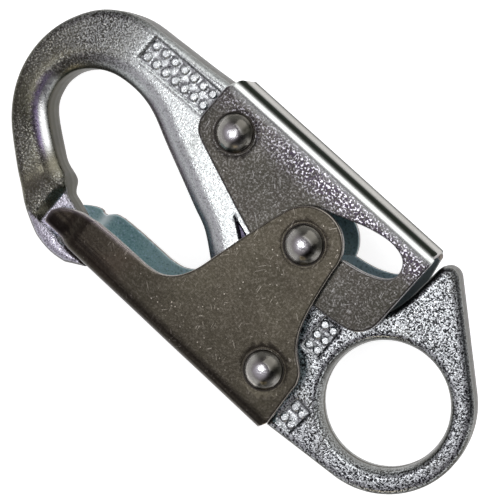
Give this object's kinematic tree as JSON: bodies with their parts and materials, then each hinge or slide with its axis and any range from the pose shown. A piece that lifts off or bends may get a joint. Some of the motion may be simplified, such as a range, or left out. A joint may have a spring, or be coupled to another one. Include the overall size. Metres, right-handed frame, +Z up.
{
  "type": "double-locking safety snap hook",
  "caption": "Flat forged snap hook with a round webbing eye, an inward swinging sheet metal gate and a spring loaded lock lever on the spine.",
  "frame": {"origin": "under the middle of the hook's footprint, on the surface it lies on, which meets the far rivet heads", "axes": "+X from the webbing eye to the bow, +Y from the lock lever side to the gate side, +Z up through the hook's thickness"},
  "size_m": [0.1268, 0.0566, 0.0255],
  "materials": {
    "forging": "shot blasted forging with bright zinc plate",
    "gate_plate": "bright zinc plated pressed sheet",
    "lock_plate": "bright zinc plated pressed sheet with fine scratches",
    "rivet": "polished domed rivet",
    "bush": "turned steel",
    "spring_wire": "drawn spring wire"
  },
  "bodies": {
    "hook_body": {"hook_body": "forging", "gate_pivot_rivet": "rivet", "gate_pivot_bush": "bush", "lock_pivot_rivet": "rivet", "lock_pivot_bush": "bush", "gate_spring": "spring_wire", "lock_spring": "spring_wire"},
    "gate": {"gate": "gate_plate", "latch_rivet": "rivet"},
    "lock_lever": {"lock_lever": "lock_plate"}
  },
  "joints": [
    {"name": "gate_hinge", "type": "hinge", "parent": "hook_body", "child": "gate", "pos_m": [-0.02104, 0.01346, 0.01275], "axis": [0, 0, -1], "range_deg": [0, 28], "stiffness_Nm_per_rad": 0.12, "springref_deg": -68.75, "deforming": ["gate_spring"]},
    {"name": "lock_hinge", "type": "hinge", "parent": "hook_body", "child": "lock_lever", "pos_m": [0.01666, -0.01914, 0.01275], "axis": [0, 0, -1], "range_deg": [0, 10], "stiffness_Nm_per_rad": 0.1, "springref_deg": -51.57, "deforming": ["lock_spring"]}
  ],
  "couplings": [
    {"joint": "lock_hinge", "follows": "gate_hinge", "ratio": 0.35714}
  ]
}
